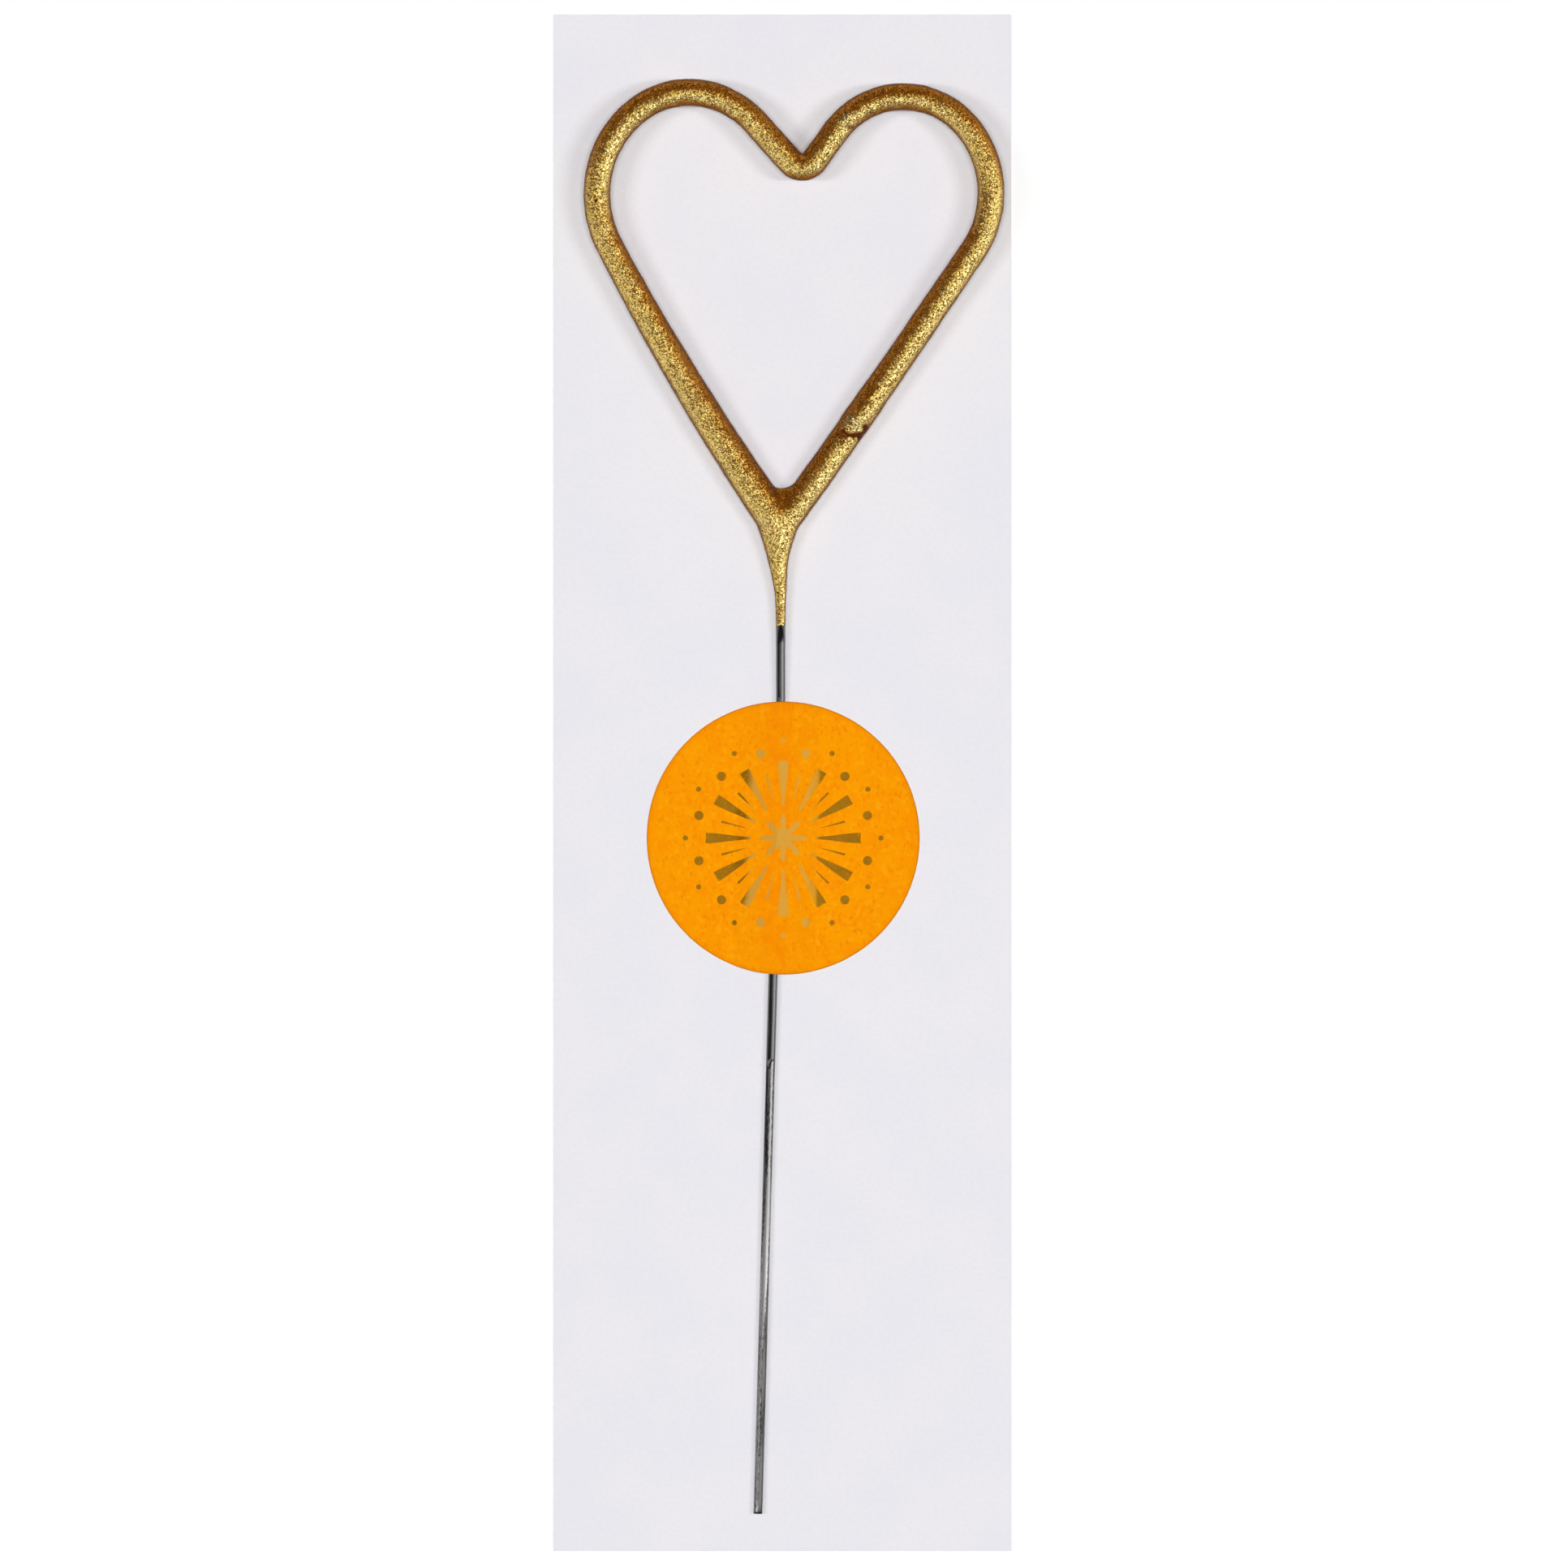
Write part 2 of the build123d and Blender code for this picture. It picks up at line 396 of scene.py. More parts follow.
# Marks of the dip in the heart's plane: the lump that ends a thicker run, a lap,
# creases with painted shade, bare patches and darkened pits
marks = {
    "wander": 0.5, "wanderSize": 0.9, "creaseFade": 0.6,
    "lumps": [
        {
            "at": Vector((11.95, 17.1)), "reach": 1.6, "height": 0.36,
            "trail": Vector((0.6, 0.8)), "stretch": 3.5,
        },
        {
            "at": Vector((10.9, 66.5)), "reach": 1.3, "height": 0.26,
            "trail": Vector((0.8, 0.6)), "stretch": 2.0,
        },
    ],
    "creases": [
        {
            "at": Vector((11.95, 17.1)), "reach": 2.05, "width": 0.6, "depth": 0.08, "stainAndShade": 0.9,
            "from": radians(-175), "span": radians(185),
        },
        {
            "at": Vector((10.9, 66.6)), "reach": 1.7, "width": 0.3, "depth": 0.05, "stainAndShade": 0.35,
            "from": radians(170), "span": radians(120),
        },
    ],
    "bare": [
        {"at": Vector((10.1, 14.9)), "reach": 1.3, "share": 0.62},
        {"at": Vector((13.0, 14.4)), "reach": 0.8, "share": 0.75},
    ],
    "pits": [
        {"at": Vector((-30.0, 53.3)), "reach": 0.33, "depth": 0.06},
        {"at": Vector((-21.9, 37.2)), "reach": 0.22, "depth": 0.05},
        {"at": Vector((27.9, 45.0)), "reach": 0.2, "depth": 0.05},
        {"at": Vector((4.6, 12.0)), "reach": 0.24, "depth": 0.05},
        {"at": Vector((3.4, 55.6)), "reach": 0.6, "depth": 0.04},
    ],
}


def markLift(point):
    # what the marks add at a point of the heart's plane: height in millimetres, stain and painted shade, thick
    # coat
    wander = marks["wander"] * noise.noise(Vector((point.x, point.y, 0)) / marks["wanderSize"])
    lift, stainAndShade, thick = 0.0, 0.0, 0.0
    for lump in marks["lumps"]:
        away = point - lump["at"]
        thick = max(thick, exp(-((away.length + wander) / lump["reach"]) ** 4))
        trail = max(away.dot(lump["trail"]), 0)   # it thins out slowly up the run that it ends
        away -= lump["trail"] * trail * (1 - 1 / lump["stretch"])
        lift += lump["height"] * exp(-((away.length + wander) / lump["reach"]) ** 4)
    # painted shade darkens each crease
    for crease in marks["creases"]:
        away = point - crease["at"]
        turn = (atan2(away.y, away.x) - crease["from"]) % (2 * pi)
        share = smoothStep(0, marks["creaseFade"], turn)
        share *= 1 - smoothStep(crease["span"] - marks["creaseFade"], crease["span"], turn)
        share *= exp(-((away.length + wander - crease["reach"]) / crease["width"]) ** 2)
        lift -= crease["depth"] * share
        stainAndShade = max(stainAndShade, crease["stainAndShade"] * share)
    for patch in marks["bare"]:
        reach = (point - patch["at"]).length + wander
        stainAndShade = max(stainAndShade, patch["share"] * exp(-(reach / patch["reach"]) ** 2))
    # each pit is darkened as well as dented
    for pit in marks["pits"]:
        share = exp(-((point - pit["at"]).length / pit["reach"]) ** 2)
        lift -= pit["depth"] * share
        stainAndShade = max(stainAndShade, share)
    return lift, stainAndShade, thick


def blendRoot(piece):
    # the arms, the web and the flare run into each other
    group = piece.vertex_groups.new(name="root")
    for vertex in piece.data.vertices:
        away = (vertex.co - root).length / mm
        if away < coat["blendReach"]:
            share = 1 - smoothStep(coat["blendReach"] / 2, coat["blendReach"], away)
            group.add([vertex.index], share, "REPLACE")
    blend = piece.modifiers.new("blend", "SMOOTH")
    blend.vertex_group = "root"
    blend.iterations = coat["blending"]
    applyModifiers(piece)


def coatShells(inset, end):
    # rods, web, flare and root ball, all this much thinner, down to this far below the root
    top, steps, flat = coat["flareTop"], coat["flareSteps"], coat["flareFlat"]
    flareDown = [-top + (end + top) * step / steps for step in range(steps + 1)]
    flarePoints = [flareMiddle(down) for down in flareDown]
    flareRadii = [(flareRadius(down) - inset) * mm for down in flareDown]
    flareFlats = [flat + (1 - flat) * smoothStep(0, coat["flatEnd"], down) for down in flareDown]
    web = webLine()
    webRadius = coat["webRadius"] - inset
    webFlat = (coat["webRadius"] * coat["webFlat"] - inset) / webRadius
    sides = coat["sides"]
    return [
        tube(heartPoints, [(radius - inset) * mm for radius in heartRadii], sides, heartUp),
        tube(web, [webRadius * mm] * len(web), sides, heartUp, [webFlat] * len(web)),
        tube(flarePoints, flareRadii, sides, heartUp, flareFlats),
        ball(root, (coat["rootBall"] - inset) * mm),
    ]


def growTogether(name, shells, grain):
    piece = makePiece(name, shells)
    remesh = piece.modifiers.new("grow together", "REMESH")
    remesh.mode = "VOXEL"
    remesh.voxel_size = grain * mm
    soften = piece.modifiers.new("soften", "SMOOTH")
    soften.iterations = coat["smoothing"]
    applyModifiers(piece)
    return piece


def makeCoat():
    piece = growTogether("goldCrust", coatShells(0.0, coat["tailEnd"]), coat["grain"])
    blendRoot(piece)
    mesh = piece.data
    stainAndShadeValues = mesh.attributes.new("stainAndShade", "FLOAT", "POINT")
    runs = mesh.attributes.new("thickRun", "FLOAT", "POINT")
    normals = [vertex.normal.copy() for vertex in mesh.vertices]
    for vertex, normal in zip(mesh.vertices, normals):
        place = vertex.co / mm
        lift = coat["swell"] * noise.noise(place / coat["swellSize"])
        lift += coat["lump"] * noise.noise(place / coat["lumpSize"] + coat["lumpShift"])
        away = vertex.co - root
        flat = Vector((away.x, away.dot(neckAxis))) / mm
        offTail = smoothStep(-coat["tailEnd"], -coat["evenTail"], flat.y)   # the thin tail stays even
        topside = smoothStep(coat["sideLow"], coat["sideHigh"], normal.dot(heartUp))
        markHeight, stainAndShade, thick = markLift(flat)
        vertex.co += normal * (lift * offTail + markHeight * topside) * mm
        stainAndShadeValues.data[vertex.index].value = stainAndShade * topside
        runs.data[vertex.index].value = thick * topside
    mesh.update()
    return piece


gold = {
    "flake": 0.17, "fineFlake": 0.1, "tilt": 0.66, "cover": 0.85, "edgeCover": 0.12,
    "faceOn": 0.22, "turnedAway": 0.65,
    "presentLow": 0.14, "presentHigh": 0.3, "chance": 0.4, "cluster": 0.3, "clusterSize": 0.6,
    "shadeFrom": -0.1, "shadeTo": 0.4, "shadeWander": 0.4, "shadeSize": 1.2, "shadeLoss": 0.5,
    "lowShadeFrom": -0.5, "lowShadeTo": -0.85, "thickHold": 0.3, "lumpHighlight": 0.6,
    "stainShadeSize": 0.4, "stainShadePatch": 0.9, "stainShadeLow": 0.3, "stainShadeHigh": 0.65,
    "cloudSize": 1.4, "brownSpread": 1.4, "brownLow": 0.15, "brownHigh": 0.75,
    "brown": shade(138, 78, 12), "deepBrown": shade(76, 38, 4),
    "brass": shade(240, 205, 104), "paleBrass": shade(255, 240, 172), "shadeBronze": shade(224, 152, 52),
    "stainAndShadeColour": shade(84, 36, 8),
    "flakeRoughness": 0.25, "roughnessSpread": 0.12,
    "lacquerRoughness": 0.5, "lacquerSheen": 0.05, "grainHeight": 0.05, "grainStrength": 0.7,
}


def goldFinish():
    finish = Finish("goldFlakeLacquer")
    flakeColour = finish.flakes(gold["flake"] * mm)
    red, green, blue = finish.parts(flakeColour)
    chance = finish.parts(finish.flakes(gold["fineFlake"] * mm))[0]
    normal = finish.node("ShaderNodeNewGeometry", {}, {}, "Normal")

    # painted shade in the creases, stain on the bare patches, dark pits, all broken up in patches
    stainAndShade = finish.node("ShaderNodeAttribute", {"attribute_name": "stainAndShade"}, {}, "Fac")
    patch = gold["stainShadePatch"] * (finish.noise(gold["stainShadeSize"] * mm) - 0.5)
    stainAndShade = finish.between(stainAndShade + patch, gold["stainShadeLow"], gold["stainShadeHigh"])

    # each flake lies at its own angle in the lacquer
    loose = finish.vector("SUBTRACT", flakeColour, (0.5, 0.5, 0.5))
    tilted = finish.vector("MULTIPLY", loose, (gold["tilt"],) * 3)
    flakeNormal = finish.vector("NORMALIZE", finish.vector("ADD", normal, tilted), (0, 0, 0))

    # flakes gather in clusters; painted shade leaves fewer, bronze-tinted flakes on the sides
    # that face up the card, and on the steepest sides that face down it
    cluster = gold["cluster"] * (finish.noise(gold["clusterSize"] * mm) - 0.5)
    gathered = red + gold["chance"] * (chance - 0.5) + cluster
    present = finish.between(gathered, gold["presentLow"], gold["presentHigh"])
    thick = finish.node("ShaderNodeAttribute", {"attribute_name": "thickRun"}, {}, "Fac")
    wander = gold["shadeWander"] * (finish.noise(gold["shadeSize"] * mm) - 0.5)
    rise = finish.parts(normal)[1] + wander
    # the thick run keeps its flakes against the painted shade
    held = rise - gold["thickHold"] * thick
    paintedShade = finish.between(held, gold["shadeFrom"], gold["shadeTo"])
    paintedShade = finish.larger(paintedShade, finish.between(rise, gold["lowShadeFrom"], gold["lowShadeTo"]))

    cloud = finish.noise(gold["cloudSize"] * mm, detail=3) + gold["brownSpread"] * (green - 0.5)
    light = finish.between(cloud, gold["brownLow"], gold["brownHigh"])
    brown = finish.mix(light, gold["deepBrown"], gold["brown"])
    brown = finish.mix(stainAndShade, brown, gold["stainAndShadeColour"])
    # some flakes are paler at random; the lumps get a painted highlight of pale flakes
    pale = finish.larger(green ** 2.0, gold["lumpHighlight"] * thick)
    brass = finish.mix(pale, gold["brass"], gold["paleBrass"])
    # painted shade: flakes on the shaded sides are tinted bronze
    brass = finish.mix(paintedShade, brass, gold["shadeBronze"])

    grain = finish.flakes(gold["flake"] * mm, "Distance")
    lacquer = finish.shader(
        Base_Color=brown,
        Roughness=gold["lacquerRoughness"],
        Specular_IOR_Level=gold["lacquerSheen"],
        Normal=finish.bump(1 - grain, gold["grainHeight"] * mm, gold["grainStrength"]),
    )
    flake = finish.shader(
        Base_Color=brass,
        Metallic=1.0,
        Roughness=gold["flakeRoughness"] + gold["roughnessSpread"] * blue,
        Normal=flakeNormal,
    )
    # flakes lie flat in the lacquer, so their gloss fades where the surface turns away
    turned = finish.node("ShaderNodeLayerWeight", {}, {"Blend": 0.5}, "Facing")
    gloss = finish.between(turned, gold["faceOn"], gold["turnedAway"], gold["cover"], gold["edgeCover"])
    # painted shade leaves fewer flakes on the shaded sides
    cover = present * (1 - gold["shadeLoss"] * paintedShade) * gloss * (1 - stainAndShade)
    finish.close(finish.node("ShaderNodeMixShader", {}, {0: cover, 1: lacquer, 2: flake}))
    return finish


goldCrust = makeCoat()
dress(goldCrust, goldFinish(), "sparkler", "gold_coat")
print("gold coat:", len(goldCrust.data.polygons), "faces")


# Steel wire: stem, kink, neck and the heart inside the coat

wire = {
    "sides": 24, "stemSteps": 60, "neckSteps": 8, "bendLength": 0.8, "cutBevel": 0.09,
    "neckShort": 6.0, "leftStart": 3, "freeEnd": 4,   # the neck runs into the left arm
    "steel": shade(132, 131, 130), "darkSteel": shade(50, 49, 48), "highlightSteel": shade(214, 213, 211),
    "streakSize": 0.35, "streakRun": 0.03, "fineSize": 0.16, "fineRun": 0.25, "fineShare": 0.5,
    "darkBelow": 0.3, "plainAbove": 0.6, "rightShade": 0.5, "rightShadeFrom": -0.1, "rightShadeTo": 0.35,
    "highlightStart": 0.27, "highlightEnd": -0.26, "highlightTop": -70.0, "highlightLow": -112.0,
    "highlightHalf": 0.26, "broadHalf": 0.6, "broadAt": -89.0, "broadRun": 17.0, "broadFlat": 3.0,
    "highlightGrain": 0.7, "highlightSoft": 0.18, "topShare": 0.45, "lowShare": 0.8,
    "darkMark": shade(34, 33, 32), "darkStripTop": -58.4, "darkStripEnd": -92.0,
    "darkStripFrom": -0.3, "darkStripTo": -0.55, "darkStripWander": 0.3,
    "nickAside": -0.25, "nickAlong": -58.7, "nickSquash": 0.6, "nickEdge": 0.45, "nickCore": 0.25,
    "cutLength": 0.7, "cutDark": 0.1,
    "metallic": 0.85, "roughness": 0.3, "roughnessSpread": 0.25, "scratch": 0.02, "scratchStrength": 0.4,
}
stemTurn = asin(stemAxis.x)


def makeWire():
    bevel = wire["cutBevel"] * mm
    stemLength = (kink - tip).length
    points = [tip, tip + stemAxis * bevel]
    radii = [wireRadius - bevel, wireRadius]
    bend = wire["bendLength"]
    stemRun = stemLength - bevel - bend * mm
    neckRun = coat["neckLength"] - wire["neckShort"]
    for step in range(1, wire["stemSteps"] + 1):
        points.append(tip + stemAxis * (bevel + stemRun * step / wire["stemSteps"]))
    for step in range(1, wire["neckSteps"] + 1):
        points.append(kink + neckAxis * (bend + neckRun * step / wire["neckSteps"]) * mm)
    points += heartPoints[wire["leftStart"]:-wire["freeEnd"]]
    radii += [wireRadius] * (len(points) - len(radii))
    return makePiece("wireCore", [tube(points, radii, wire["sides"])])


def stemPlace(finish):
    # distances across and along the stem from the kink, in millimetres
    spot = finish.vector("SUBTRACT", finish.place(), tuple(kink))
    across = finish.vector("DOT_PRODUCT", spot, tuple(stemAcross), "Value")
    return across / mm, finish.vector("DOT_PRODUCT", spot, tuple(stemAxis), "Value") / mm


def steelFinish():
    finish = Finish("drawnSteel")
    across, along = stemPlace(finish)
    streakPlace = finish.stretched((1, wire["streakRun"], 1), stemTurn)
    streak = finish.noise(wire["streakSize"] * mm, detail=3, where=streakPlace)
    finePlace = finish.stretched((1, wire["fineRun"], 1), stemTurn)
    fine = finish.noise(wire["fineSize"] * mm, detail=3, where=finePlace)
    plain = streak + wire["fineShare"] * (fine - 0.5)
    plain = finish.between(plain, wire["darkBelow"], wire["plainAbove"])
    colour = finish.mix(plain, wire["darkSteel"], wire["steel"])
    # painted shade: the right side of the wire is darker
    rightShade = finish.between(across, wire["rightShadeFrom"], wire["rightShadeTo"], 0.0, wire["rightShade"])
    colour = finish.mix(rightShade, colour, wire["darkSteel"])

    # painted highlight: a pale streak that winds slowly round the wire, right of the middle near the film and left
    # of it near the tip
    top, low = wire["highlightTop"], wire["highlightLow"]
    middle = finish.between(along, top, low, wire["highlightStart"], wire["highlightEnd"])
    fromBroad = abs(along - wire["broadAt"])
    half = finish.between(
        fromBroad, wire["broadRun"], wire["broadFlat"], wire["highlightHalf"], wire["broadHalf"])
    within = half - abs(across - middle) + wire["highlightGrain"] * (fine - 0.5)
    paintedHighlight = finish.between(within, 0.0, wire["highlightSoft"])
    paintedHighlight = paintedHighlight * finish.between(along, top, low, wire["topShare"], wire["lowShare"])
    colour = finish.mix(paintedHighlight, colour, wire["highlightSteel"])

    # a dark strip runs down the left side below the film, the nick is dark and the cut end is darker
    ragged = across + wire["darkStripWander"] * (streak - 0.5)
    darkMark = finish.between(ragged, wire["darkStripFrom"], wire["darkStripTo"])
    darkMark = darkMark * finish.between(along, wire["darkStripEnd"], wire["darkStripTop"])
    aside = across - wire["nickAside"]
    below = wire["nickSquash"] * (along - wire["nickAlong"])
    fromNick = (aside ** 2.0 + below ** 2.0) ** 0.5
    darkMark = finish.larger(darkMark, finish.between(fromNick, wire["nickEdge"], wire["nickCore"]))
    cut = -(kink - tip).length / mm
    edgeShadeShare = finish.between(along, cut + wire["cutLength"], cut + wire["cutDark"])
    colour = finish.mix(finish.larger(darkMark, edgeShadeShare), colour, wire["darkMark"])
    finish.close(finish.shader(
        Base_Color=colour,
        Metallic=wire["metallic"],
        Roughness=wire["roughness"] + wire["roughnessSpread"] * fine,
        Normal=finish.bump(fine, wire["scratch"] * mm, wire["scratchStrength"]),
    ))
    return finish


wireCore = makeWire()
dress(wireCore, steelFinish(), "sparkler", "core_wire")


# Dark film that the dip leaves on the stem, ragged where it ends

film = {
    "radius": 0.73, "end": 58.4, "underGold": 0.1, "sides": 24, "stemSteps": 70, "neckSteps": 4,
    "ragged": 1.1, "raggedTurns": 1.3, "raggedShift": 3.7,
    "black": shade(8, 8, 8), "worn": shade(50, 49, 48), "wornFrom": 0.52, "wornTo": 0.72,
    "streakSize": 0.4, "streakRun": 0.06, "scratch": 0.02, "scratchStrength": 0.3,
    "roughness": 0.12, "roughnessSpread": 0.22, "gloss": 1.0, "index": 1.62,
}


def makeFilm():
    bend = wire["bendLength"]
    goldEnd = coat["neckLength"] - coat["tailEnd"]
    stemRun = film["end"] - bend
    neckRun = goldEnd + film["underGold"] - bend
    points = []
    for step in range(film["stemSteps"] + 1):
        points.append(kink + stemAxis * (-film["end"] + stemRun * step / film["stemSteps"]) * mm)
    for step in range(film["neckSteps"] + 1):
        points.append(kink + neckAxis * (bend + neckRun * step / film["neckSteps"]) * mm)
    corners, faces = tube(points, [film["radius"] * mm] * len(points), film["sides"])
    for side in range(film["sides"]):
        turn = 2 * pi * side / film["sides"]
        turns = film["raggedTurns"]
        ragged = noise.noise(Vector((cos(turn) * turns, sin(turn) * turns, film["raggedShift"])))
        corners[side] = corners[side] + stemAxis * film["ragged"] * ragged * mm
    return makePiece("filmSleeve", [(corners, faces)])


def filmFinish():
    finish = Finish("darkFilm")
    streakPlace = finish.stretched((1, film["streakRun"], 1), stemTurn)
    streak = finish.noise(film["streakSize"] * mm, detail=3, where=streakPlace)
    worn = finish.between(streak, film["wornFrom"], film["wornTo"])
    finish.close(finish.shader(
        Base_Color=finish.mix(worn, film["black"], film["worn"]),
        Roughness=film["roughness"] + film["roughnessSpread"] * streak,
        IOR=film["index"],
        Specular_IOR_Level=film["gloss"],
        Normal=finish.bump(streak, film["scratch"] * mm, film["scratchStrength"]),
    ))
    return finish


filmSleeve = makeFilm()
dress(filmSleeve, filmFinish(), "sparkler", "stem_film")
print("wire and film made")


# Round paper label, raised in a tent over the stem

label = {
    "paper": 0.12, "tentHalf": 6.6, "foldRadius": 2.5, "tunnelRadius": 0.85, "gumTop": 0.55,
    "rows": 64, "columnTurn": 2, "ridgeStep": 0.08, "ridgeSteps": 6, "footStep": 0.15, "footSteps": 5,
    "wave": 0.02, "waveSize": 4.0, "weld": 0.002,
    "orange": shade(249, 155, 2), "deepOrange": shade(246, 136, 2),
    "cloudSize": 2.6, "cloudLow": 0.3, "cloudHigh": 0.7, "cloudShare": 0.5,
    "pale": shade(252, 166, 16), "paleSize": 0.9, "paleLow": 0.5, "paleHigh": 0.7, "paleShare": 0.7,
    "fibre": shade(226, 108, 6), "fibreSize": 0.45, "fibreRun": 0.6, "fibreTurn": 0.7,
    "fibreLow": 0.53, "fibreHigh": 0.72, "fibreShare": 0.45,
    "ridgeShadeLeft": -4.0, "ridgeShadeFull": -0.6, "ridgeShadeRight": 2.4, "ridgeShadeFade": 1.4, "ridgeShadeWander": 0.8,
    "ridgeShadeHigh": 0.75, "ridgeShadeThin": 0.25, "ridgeShadeShare": 0.8,
    "rim": shade(238, 134, 2), "rimShadeFrom": -1.2, "rimShadeTo": -0.1, "rimShadeShare": 0.4,
    "edgeShadeColour": shade(186, 112, 20), "edgeShadeFrom": -0.35, "edgeShadeTo": -0.05, "edgeShadeShare": 0.6,
    "toothSize": 0.25, "tooth": 0.02, "toothStrength": 0.35, "roughness": 0.75, "sheen": 0.05,
}
labelLow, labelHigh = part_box("label_face")
labelMiddle = (labelLow + labelHigh) / 2
labelRadius = (labelHigh.x - labelLow.x) / 2
tentTop = kink.z / mm - label["gumTop"]
flank = atan2(tentTop, label["tentHalf"])
flank += asin(label["tunnelRadius"] / hypot(tentTop, label["tentHalf"]))


def tentSection(across):
    # height of the paper's underside over the gum at this distance from the stem, and its slope
    away = abs(across)
    lean = 1 if across < 0 else -1
    tangentLength = label["foldRadius"] * tan(flank / 2)
    ridgeEnd = label["tunnelRadius"] * sin(flank)
    foldStart = label["tentHalf"] - tangentLength * cos(flank)
    foldEnd = label["tentHalf"] + tangentLength
    if away < ridgeEnd:
        height = tentTop + sqrt(label["tunnelRadius"] ** 2 - away ** 2)
        return height, lean * asin(away / label["tunnelRadius"])
    if away < foldStart:
        return (label["tentHalf"] - away) * tan(flank), lean * flank
    if away < foldEnd:
        back = foldEnd - away
        height = label["foldRadius"] - sqrt(label["foldRadius"] ** 2 - back ** 2)
        return height, lean * asin(back / label["foldRadius"])
    return 0.0, 0.0


def makeLabel():
    centre = labelMiddle - kink
    acrossMiddle = centre.dot(stemAcross) / mm
    alongMiddle = centre.dot(stemAxis) / mm
    radius = labelRadius / mm
    turns = range(-90, 91, label["columnTurn"])
    ridge, foot = label["ridgeSteps"], label["footSteps"]
    columns = [acrossMiddle + radius * sin(radians(turn)) for turn in turns]
    columns += [label["ridgeStep"] * step for step in range(-ridge, ridge + 1)]
    for footAt in (-label["tentHalf"], label["tentHalf"]):
        columns += [footAt + label["footStep"] * step for step in range(-foot, foot + 1)]
    columns.sort()
    rows = label["rows"]
    corners, faces = [], []
    for depth in (label["paper"], 0.0):
        for across in columns:
            half = sqrt(max(radius ** 2 - (across - acrossMiddle) ** 2, 0))
            height, slope = tentSection(across)
            for row in range(rows + 1):
                along = alongMiddle + half * sin(pi * (row / rows - 0.5))
                spot = kink + (stemAcross * (across - depth * sin(slope)) + stemAxis * along) * mm
                wave = label["wave"] * abs(noise.noise(Vector((across, along, 0)) / label["waveSize"]))
                spot.z = (label["gumTop"] + height + depth * cos(slope) + wave) * mm
                corners.append(spot)
    sheet = len(columns) * (rows + 1)
    for column in range(len(columns) - 1):
        for row in range(rows):
            first = column * (rows + 1) + row
            second = first + rows + 1
            faces.append((first, second, second + 1, first + 1))
            faces.append((sheet + first, sheet + first + 1, sheet + second + 1, sheet + second))
        for row, flip in ((0, False), (rows, True)):
            first = column * (rows + 1) + row
            second = first + rows + 1
            wall = (first, first + sheet, second + sheet, second)
            faces.append(tuple(reversed(wall)) if flip else wall)
    piece = makePiece("labelPaper", [(corners, faces)])
    work = bmesh.new()
    work.from_mesh(piece.data)
    bmesh.ops.remove_doubles(work, verts=work.verts, dist=label["weld"] * mm)
    bmesh.ops.dissolve_degenerate(work, edges=work.edges, dist=label["weld"] * mm)
    bmesh.ops.recalc_face_normals(work, faces=work.faces)
    work.to_mesh(piece.data)
    work.free()
    return piece


foil = {
    "dark": shade(172, 114, 16), "pale": shade(204, 146, 34), "cloudSize": 1.5,
    "tentHighlight": shade(220, 162, 60), "tentHighlightAt": 0.5, "tentHighlightWander": 1.5,
    "tentHighlightFrom": 6.0, "tentHighlightTo": 4.4,
    "wornSize": 0.35, "wornLow": 0.3, "wornHigh": 0.42, "wornShare": 0.55,
    "metallic": 0.65, "tentHighlightMetallic": 0.45, "gloss": 0.42, "tentHighlightGloss": 0.22,
    "rays": 12, "rayStart": 5.2, "rayEnd": 12.6, "rayHalf": 0.85,
    "thinStart": 6.4, "thinEnd": 10.4, "thinHalf": 0.18, "innerShare": 0.25,
    "dotAt": 14.2, "dotRadius": 0.75, "outerDotAt": 15.9, "outerDotRadius": 0.42,
    "starTip": 3.9, "starWaist": 1.5, "starTurns": 4.0, "starPower": 3.0, "edge": 0.05,
}


def foilMask(finish, x, y):
    # burst of bold and thin rays with dots round a small star; x and y in millimetres
    reach = (x ** 2.0 + y ** 2.0) ** 0.5
    turn = reach.math("ARCTAN2", x, y)
    edge = foil["edge"]

    def folded(offset):
        # places out along and aside from the middle of one of the repeating sectors
        half = pi / foil["rays"]
        part = finish.node(
            "ShaderNodeMath", {"operation": "WRAP"}, {0: turn + offset, 1: half, 2: -half})
        return reach * part.math("COSINE", part), reach * part.math("SINE", part)

    def bar(out, aside, start, end, half):
        # a ray that tapers to its inner end
        inner = foil["innerShare"]
        width = half * (inner + (1 - inner) * finish.between(out, start, end))
        body = finish.between(width - abs(aside), -edge, edge)
        begun = finish.between(out, start - edge, start + edge)
        return body * begun * finish.between(out, end + edge, end - edge)

    def dot(out, aside, at, radius):
        away = ((out - at) ** 2.0 + aside ** 2.0) ** 0.5
        return finish.between(radius - away, -edge, edge)

    out, aside = folded(0.0)
    mask = bar(out, aside, foil["rayStart"], foil["rayEnd"], foil["rayHalf"])
    mask = finish.larger(mask, dot(out, aside, foil["outerDotAt"], foil["outerDotRadius"]))
    out, aside = folded(pi / foil["rays"])
    mask = finish.larger(mask, bar(out, aside, foil["thinStart"], foil["thinEnd"], foil["thinHalf"]))
    mask = finish.larger(mask, dot(out, aside, foil["dotAt"], foil["dotRadius"]))
    petal = abs(turn.math("COSINE", turn * foil["starTurns"]))
    star = foil["starWaist"] + (foil["starTip"] - foil["starWaist"]) * petal ** foil["starPower"]
    return finish.larger(mask, finish.between(star - reach, -edge, edge))


